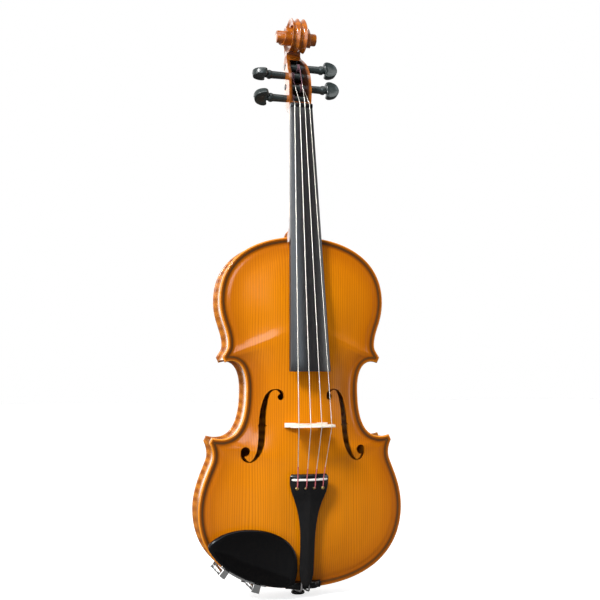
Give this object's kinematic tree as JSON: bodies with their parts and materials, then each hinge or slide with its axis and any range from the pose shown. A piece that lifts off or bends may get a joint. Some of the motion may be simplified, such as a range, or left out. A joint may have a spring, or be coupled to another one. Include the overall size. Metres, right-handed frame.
{
  "type": "violin",
  "caption": "Hollow arched wooden body with sound holes, neck with a carved scroll, strings over a bridge to turning pegs, and a clamped chinrest.",
  "frame": {"origin": "centre of the flat outer face of the end button, at the lowest point of the upright violin", "axes": "+Z along the body from the end button to the scroll, -Y out of the top plate, +Y out of the back, +X towards the treble side"},
  "size_m": [0.2142, 0.0952, 0.607],
  "materials": {
    "spruce_varnish": "golden-orange gloss varnish over straight-grained spruce, browner at the edges",
    "maple_varnish": "reddish-brown gloss varnish over flamed maple",
    "bare_wood": "bare planed softwood inside the body",
    "black_wood": "satin black hardwood",
    "black_chinrest": "polished black hardwood",
    "bridge_wood": "bare pale maple with fine flecks",
    "fret_white": "ivory-white polished bar",
    "string_wire": "flat-wound metal string, with red silk on its ends",
    "tailgut_cord": "smooth dark nylon cord",
    "clamp_metal": "bright nickel plating",
    "cork": "fine-grained sheet cork"
  },
  "bodies": {
    "violin": {"back_plate": "maple_varnish", "bass_bar": "bare_wood", "bridge": "bridge_wood", "chinrest_cork": "cork", "chinrest_plate": "black_chinrest", "clamp_upper_bracket": "clamp_metal", "end_block": "bare_wood", "end_button": "black_wood", "fingerboard": "black_wood", "lower_back_lining_left": "bare_wood", "lower_back_lining_right": "bare_wood", "lower_corner_block_left": "bare_wood", "lower_corner_block_right": "bare_wood", "lower_rib_left": "maple_varnish", "lower_rib_right": "maple_varnish", "lower_top_lining_left": "bare_wood", "lower_top_lining_right": "bare_wood", "neck_and_scroll": "maple_varnish", "neck_block": "bare_wood", "nut": "black_wood", "saddle": "black_wood", "sound_post": "bare_wood", "string_a": "string_wire", "string_d": "string_wire", "string_e": "string_wire", "string_g": "string_wire", "tailgut": "tailgut_cord", "tailgut_nut_left": "clamp_metal", "tailgut_nut_right": "clamp_metal", "tailpiece": "black_wood", "tailpiece_fret": "fret_white", "top_plate": "spruce_varnish", "upper_back_lining_left": "bare_wood", "upper_back_lining_right": "bare_wood", "upper_corner_block_left": "bare_wood", "upper_corner_block_right": "bare_wood", "upper_rib_left": "maple_varnish", "upper_rib_right": "maple_varnish", "upper_top_lining_left": "bare_wood", "upper_top_lining_right": "bare_wood", "waist_back_lining_left": "bare_wood", "waist_back_lining_right": "bare_wood", "waist_rib_left": "maple_varnish", "waist_rib_right": "maple_varnish", "waist_top_lining_left": "bare_wood", "waist_top_lining_right": "bare_wood"},
    "g_peg": {"peg_g": "black_wood", "string_coil_g": "string_wire"},
    "e_peg": {"peg_e": "black_wood", "string_coil_e": "string_wire"},
    "d_peg": {"peg_d": "black_wood", "string_coil_d": "string_wire"},
    "a_peg": {"peg_a": "black_wood", "string_coil_a": "string_wire"},
    "clamp_barrel_l": {"clamp_barrel_left": "clamp_metal"},
    "clamp_barrel_r": {"clamp_barrel_right": "clamp_metal"},
    "clamp_foot": {"clamp_foot_bracket": "clamp_metal", "clamp_cork": "cork"}
  },
  "joints": [
    {"name": "g_peg_turn", "type": "hinge", "parent": "violin", "child": "g_peg", "pos_m": [0, 0.0034, 0.517], "axis": [1, 0, 0], "continuous": true},
    {"name": "e_peg_turn", "type": "hinge", "parent": "violin", "child": "e_peg", "pos_m": [0, 0.0066, 0.5305], "axis": [1, 0, 0], "continuous": true},
    {"name": "d_peg_turn", "type": "hinge", "parent": "violin", "child": "d_peg", "pos_m": [0, 0.0098, 0.544], "axis": [1, 0, 0], "continuous": true},
    {"name": "a_peg_turn", "type": "hinge", "parent": "violin", "child": "a_peg", "pos_m": [0, 0.0126, 0.5545], "axis": [1, 0, 0], "continuous": true},
    {"name": "clamp_foot_slide", "type": "slide", "parent": "violin", "child": "clamp_foot", "axis": [0, 1, 0], "range_m": [0, 0.004]},
    {"name": "clamp_left_barrel_turn", "type": "hinge", "parent": "violin", "child": "clamp_barrel_l", "pos_m": [-0.08275, 0, 0.02799], "axis": [0, 1, 0], "range_deg": [0, 1000]},
    {"name": "clamp_right_barrel_turn", "type": "hinge", "parent": "violin", "child": "clamp_barrel_r", "pos_m": [-0.04992, 0, 0.01181], "axis": [0, 1, 0], "range_deg": [0, 1000]}
  ],
  "couplings": [
    {"joint": "clamp_left_barrel_turn", "follows": "clamp_foot_slide", "rad_per_m": 4363.3},
    {"joint": "clamp_right_barrel_turn", "follows": "clamp_foot_slide", "rad_per_m": 4363.3}
  ]
}
